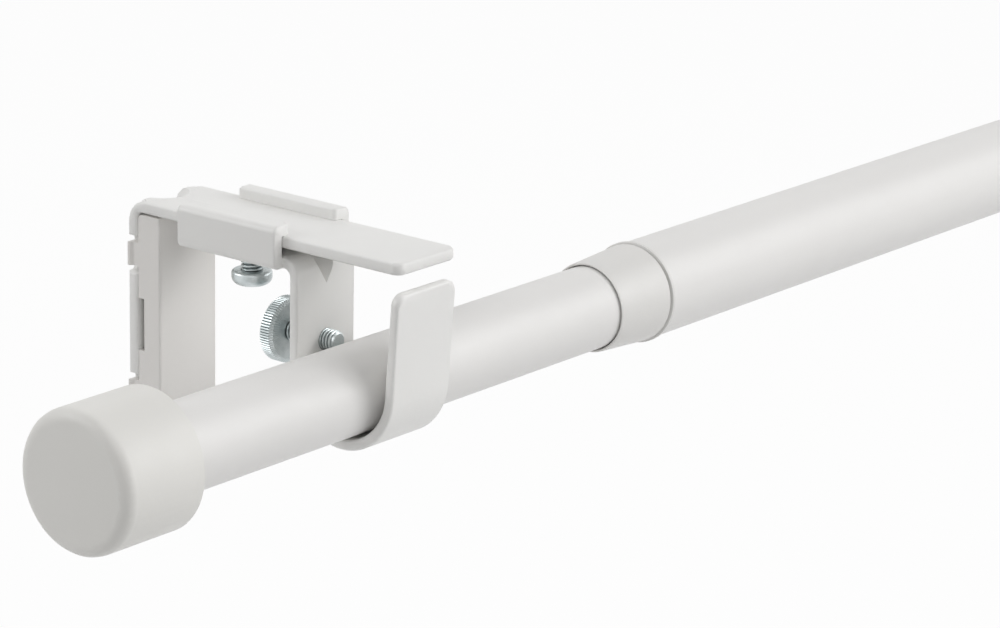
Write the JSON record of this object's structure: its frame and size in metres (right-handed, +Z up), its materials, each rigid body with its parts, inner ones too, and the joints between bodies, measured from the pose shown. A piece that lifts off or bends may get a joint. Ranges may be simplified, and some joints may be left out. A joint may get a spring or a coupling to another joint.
{
  "type": "extendable curtain rod",
  "caption": "White telescopic curtain rod: a thin tube slides in a wider one, with round end caps, held by wall brackets whose folded hooks slide on flat arms.",
  "frame": {"origin": "middle of the left bracket's two screw holes, on the wall plane", "axes": "+X along the rod from the left bracket to the right one, +Y into the wall, +Z up"},
  "size_m": [0.8073, 0.0645, 0.048],
  "materials": {
    "white_steel": "smooth satin powder coat on bent steel strip",
    "white_tube": "smooth satin paint on drawn steel tube",
    "white_plastic": "fine matt moulded surface",
    "zinc": "bright bluish zinc plating"
  },
  "bodies": {
    "bracket_left": {"wall_arm_left": "white_steel", "wall_cover_left": "white_plastic"},
    "carriage_left": {"hook_left": "white_steel"},
    "set_screw_left": {"set_screw_left": "zinc"},
    "thumb_screw_left": {"thumb_screw_left": "zinc"},
    "thin_tube": {"inner_tube": "white_tube", "inner_tube_guide": "white_plastic", "end_cap_left": "white_plastic"},
    "wide_tube": {"outer_tube": "white_tube", "collar": "white_plastic", "end_cap_right": "white_plastic"},
    "carriage_right": {"hook_right": "white_steel"},
    "set_screw_right": {"set_screw_right": "zinc"},
    "thumb_screw_right": {"thumb_screw_right": "zinc"},
    "bracket_right": {"wall_arm_right": "white_steel", "wall_cover_right": "white_plastic"}
  },
  "joints": [
    {"name": "depth_left", "type": "slide", "parent": "bracket_left", "child": "carriage_left", "axis": [0, 1, 0], "range_m": [-0.034, 0.006]},
    {"name": "set_screw_left_travel", "type": "slide", "parent": "carriage_left", "child": "set_screw_left", "axis": [0, 0, 1], "range_m": [-0.0025, 0]},
    {"name": "thumb_screw_left_travel", "type": "slide", "parent": "carriage_left", "child": "thumb_screw_left", "axis": [0, 1, 0], "range_m": [0, 0.0025]},
    {"name": "rod_shift", "type": "slide", "parent": "carriage_left", "child": "thin_tube", "axis": [1, 0, 0], "range_m": [-0.02, 0.04]},
    {"name": "telescope", "type": "slide", "parent": "thin_tube", "child": "wide_tube", "axis": [1, 0, 0], "range_m": [-0.03, 0.3815]},
    {"name": "bracket_right_shift", "type": "slide", "parent": "wide_tube", "child": "carriage_right", "axis": [1, 0, 0], "range_m": [-0.3, 0.04]},
    {"name": "set_screw_right_travel", "type": "slide", "parent": "carriage_right", "child": "set_screw_right", "axis": [0, 0, 1], "range_m": [-0.0025, 0]},
    {"name": "thumb_screw_right_travel", "type": "slide", "parent": "carriage_right", "child": "thumb_screw_right", "axis": [0, 1, 0], "range_m": [0, 0.0006]},
    {"name": "depth_right", "type": "slide", "parent": "carriage_right", "child": "bracket_right", "axis": [0, 1, 0], "range_m": [-0.006, 0.034]}
  ],
  "couplings": [
    {"joint": "depth_right", "follows": "depth_left", "ratio": -1}
  ]
}
